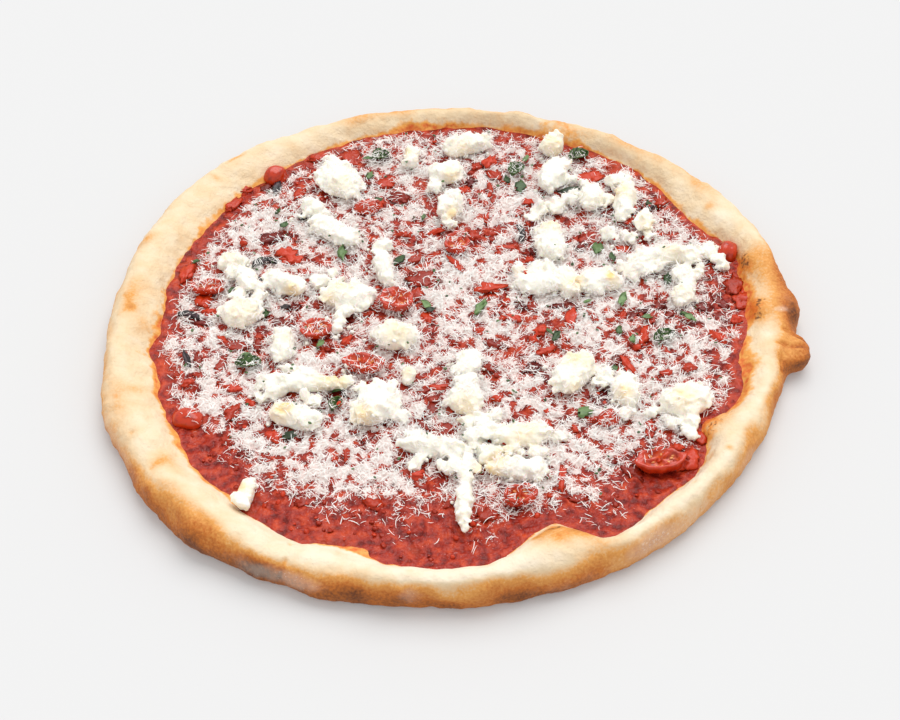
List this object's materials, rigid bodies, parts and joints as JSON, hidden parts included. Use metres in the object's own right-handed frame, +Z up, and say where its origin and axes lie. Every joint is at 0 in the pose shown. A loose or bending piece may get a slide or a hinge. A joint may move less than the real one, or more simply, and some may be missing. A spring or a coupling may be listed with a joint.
{
  "type": "ricotta and tomato pizza",
  "caption": "Round hand-stretched pizza with a golden raised rim, tomato sauce, finely grated cheese, ricotta lumps, halved cherry tomatoes, olive and basil.",
  "frame": {"origin": "centre of the bounding box's underside, on the flat face that the pizza lies on", "axes": "+Z up, out of the toppings; +X towards the small knob of folded dough on the rim; +Y to the left of it, with the large inward fold of the rim on the -Y side"},
  "size_m": [0.3342, 0.3278, 0.0215],
  "materials": {
    "crust": "baked dough, pale cream on top and golden brown on the outside",
    "sauce": "wet, chunky tomato sauce with finely grated white cheese",
    "ricotta": "soft, crumbly, creamy white",
    "tomato": "glossy skin and juicy cut face",
    "olive": "oily purple black",
    "basil": "wilted green leaf"
  },
  "bodies": {
    "root": {"crust": "crust", "sauce": "sauce", "ricotta_01": "ricotta", "ricotta_02": "ricotta", "ricotta_03": "ricotta", "ricotta_04": "ricotta", "ricotta_05": "ricotta", "ricotta_06": "ricotta", "ricotta_07": "ricotta", "ricotta_08": "ricotta", "ricotta_09": "ricotta", "ricotta_10": "ricotta", "ricotta_11": "ricotta", "ricotta_12": "ricotta", "ricotta_13": "ricotta", "ricotta_14": "ricotta", "ricotta_15": "ricotta", "ricotta_16": "ricotta", "ricotta_17": "ricotta", "ricotta_18": "ricotta", "ricotta_19": "ricotta", "ricotta_20": "ricotta", "ricotta_21": "ricotta", "ricotta_22": "ricotta", "ricotta_23": "ricotta", "ricotta_24": "ricotta", "ricotta_25": "ricotta", "ricotta_26": "ricotta", "ricotta_27": "ricotta", "ricotta_28": "ricotta", "ricotta_29": "ricotta", "ricotta_30": "ricotta", "ricotta_31": "ricotta", "ricotta_32": "ricotta", "ricotta_33": "ricotta", "ricotta_34": "ricotta", "ricotta_35": "ricotta", "ricotta_36": "ricotta", "tomato_01": "tomato", "tomato_02": "tomato", "tomato_03": "tomato", "tomato_04": "tomato", "tomato_05": "tomato", "tomato_06": "tomato", "tomato_07": "tomato", "tomato_08": "tomato", "tomato_09": "tomato", "tomato_10": "tomato", "tomato_11": "tomato", "tomato_12": "tomato", "olive_01": "olive", "olive_02": "olive", "olive_03": "olive", "olive_04": "olive", "basil_01": "basil", "basil_02": "basil", "basil_03": "basil", "basil_04": "basil", "basil_05": "basil", "basil_06": "basil"}
  },
  "joints": []
}
